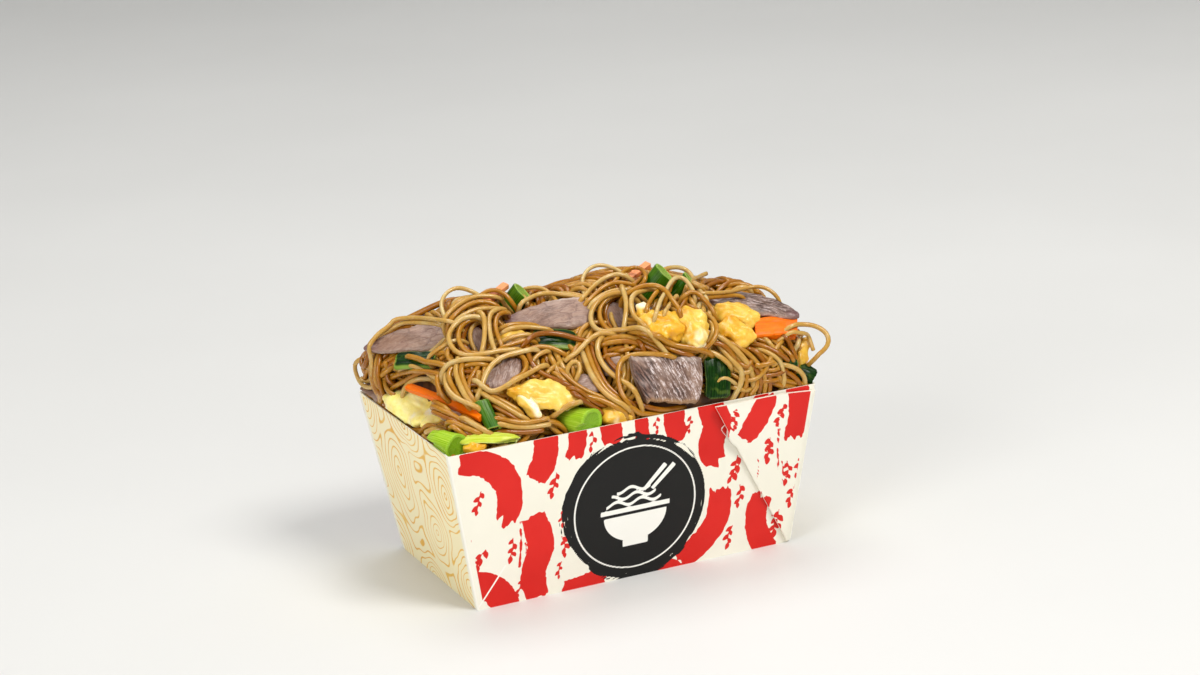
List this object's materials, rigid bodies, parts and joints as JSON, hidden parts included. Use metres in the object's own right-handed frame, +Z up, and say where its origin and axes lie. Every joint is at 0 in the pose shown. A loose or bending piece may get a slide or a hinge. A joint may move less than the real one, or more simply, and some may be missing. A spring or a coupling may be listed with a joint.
{
  "type": "noodle takeaway box",
  "caption": "Open folded paperboard takeaway tray with sloping walls, heaped high with fried noodles, beef slices, scrambled egg, spring onion and carrot.",
  "frame": {"origin": "centre of the underside of the tray", "axes": "+X along the tray's long side, -Y out of the printed front panel, +Z up out of the open top"},
  "size_m": [0.1581, 0.0975, 0.1087],
  "materials": {
    "paperboard": "satin",
    "noodles": "satin",
    "beef": "satin",
    "egg": "satin",
    "green_onion": "gloss",
    "green_leaf": "gloss",
    "leek": "satin",
    "carrot": "satin"
  },
  "bodies": {
    "root": {"carton": "paperboard", "noodles": "noodles", "beef_slice_1": "beef", "beef_slice_2": "beef", "beef_slice_3": "beef", "beef_slice_4": "beef", "beef_slice_5": "beef", "beef_slice_6": "beef", "beef_slice_7": "beef", "beef_slice_8": "beef", "beef_slice_9": "beef", "beef_slice_10": "beef", "beef_slice_11": "beef", "egg_piece_1": "egg", "egg_piece_2": "egg", "egg_piece_3": "egg", "egg_piece_4": "egg", "egg_piece_5": "egg", "egg_piece_6": "egg", "egg_piece_7": "egg", "egg_piece_8": "egg", "egg_piece_9": "egg", "green_onion_1": "green_onion", "green_onion_2": "green_onion", "green_onion_3": "green_onion", "green_onion_4": "green_onion", "green_onion_5": "green_onion", "leek_strip_1": "leek", "green_leaf_1": "green_leaf", "green_leaf_2": "green_leaf", "green_leaf_3": "green_leaf", "green_leaf_4": "green_leaf", "green_leaf_5": "green_leaf", "carrot_stick_1": "carrot", "carrot_stick_2": "carrot", "carrot_stick_3": "carrot", "carrot_stick_4": "carrot", "beef_slice_12": "beef", "beef_slice_13": "beef", "beef_slice_14": "beef", "egg_piece_10": "egg", "egg_piece_11": "egg", "egg_piece_12": "egg", "green_onion_6": "green_onion", "green_onion_7": "green_onion", "green_leaf_6": "green_leaf", "carrot_stick_5": "carrot", "carrot_stick_6": "carrot"}
  },
  "joints": []
}
